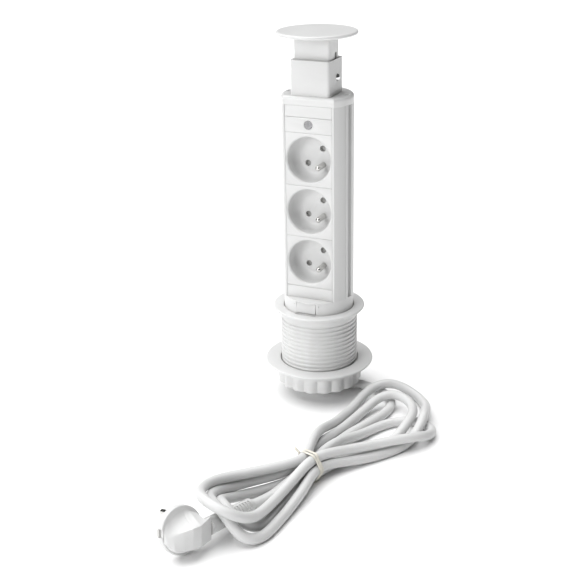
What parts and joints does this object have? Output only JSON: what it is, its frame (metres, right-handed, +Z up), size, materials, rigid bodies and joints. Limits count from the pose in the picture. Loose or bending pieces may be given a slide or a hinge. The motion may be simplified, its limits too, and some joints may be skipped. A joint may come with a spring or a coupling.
{
  "type": "pull-up desk power strip",
  "caption": "Round column of earthed outlets that pulls up through a threaded desk collar with clamp ring and nut, with a telescoping lid and a tied mains cord with plug.",
  "frame": {"origin": "on the column's axis, on the surface that the foot stands on", "axes": "+Z up along the column, the outlets face -Y, the cord leaves the foot towards +X"},
  "size_m": [0.1726, 0.3438, 0.3218],
  "materials": {
    "white_plastic": "satin moulded",
    "column_coat": "satin powder coat",
    "inner_plastic": "matte",
    "plated_steel": "zinc plated",
    "chrome_screw": "polished",
    "dark_screw": "black oxide",
    "nickel_pin": "nickel plated",
    "copper_bar": "bare",
    "cord_pvc": "soft PVC",
    "tie_plastic": "paper-backed wire tie"
  },
  "bodies": {
    "collar": {"threaded_collar": "white_plastic"},
    "ring": {"clamp_ring": "white_plastic"},
    "nut": {"clamp_nut": "white_plastic"},
    "column": {"column_profile": "column_coat", "top_cap": "white_plastic", "cap_screws": "plated_steel", "base_cap": "white_plastic", "base_plate": "white_plastic", "base_screws": "plated_steel", "lower_blank": "white_plastic", "socket_1": "white_plastic", "socket_2": "white_plastic", "socket_3": "white_plastic", "socket_back_1": "inner_plastic", "socket_back_2": "inner_plastic", "socket_back_3": "inner_plastic", "screw_panel": "white_plastic", "panel_screw": "dark_screw", "upper_blank": "white_plastic", "earth_pins": "nickel_pin", "earth_bar": "copper_bar", "live_bar": "copper_bar", "neutral_bar": "copper_bar", "contact_clips": "copper_bar", "inner_leads": "cord_pvc", "cord_tail": "cord_pvc", "cord_clamp": "white_plastic", "clamp_screws": "plated_steel", "cord_gland": "white_plastic", "latch_pin": "plated_steel", "neck_sleeve": "white_plastic", "guide_screws": "chrome_screw", "plug_body": "white_plastic", "plug_pins": "nickel_pin", "earth_clips": "nickel_pin", "plug_boot": "white_plastic", "cord": "cord_pvc", "cord_tie": "tie_plastic"},
    "latch": {"release_latch": "white_plastic"},
    "lid": {"neck_post": "white_plastic", "lid": "white_plastic", "lid_screws": "plated_steel"},
    "shutter_a": {"shutter_1": "inner_plastic"},
    "shutter_b": {"shutter_2": "inner_plastic"},
    "shutter_c": {"shutter_3": "inner_plastic"}
  },
  "joints": [
    {"name": "column_slide", "type": "slide", "parent": "collar", "child": "column", "axis": [0, 0, 1], "range_m": [-0.218, 0]},
    {"name": "lid_slide", "type": "slide", "parent": "column", "child": "lid", "axis": [0, 0, 1], "range_m": [-0.016, 0]},
    {"name": "latch_press", "type": "hinge", "parent": "column", "child": "latch", "pos_m": [0, -0.0272, 0.0912], "axis": [1, 0, 0], "range_deg": [0, 10], "stiffness_Nm_per_rad": 0.02},
    {"name": "ring_slide", "type": "slide", "parent": "collar", "child": "ring", "axis": [0, 0, 1], "range_m": [0, 0.0386]},
    {"name": "nut_spin", "type": "hinge", "parent": "ring", "child": "nut", "pos_m": [0, 0, 0.02], "axis": [0, 0, 1], "range_deg": [0, 3600]},
    {"name": "shutter_slide_a", "type": "slide", "parent": "column", "child": "shutter_a", "axis": [-0.7071, 0, 0.7071], "range_m": [0, 0.006], "stiffness_N_per_m": 60},
    {"name": "shutter_slide_b", "type": "slide", "parent": "column", "child": "shutter_b", "axis": [-0.7071, 0, 0.7071], "range_m": [0, 0.006], "stiffness_N_per_m": 60},
    {"name": "shutter_slide_c", "type": "slide", "parent": "column", "child": "shutter_c", "axis": [-0.7071, 0, 0.7071], "range_m": [0, 0.006], "stiffness_N_per_m": 60}
  ],
  "couplings": [
    {"joint": "ring_slide", "follows": "nut_spin", "m_per_rad": 0.000612}
  ]
}
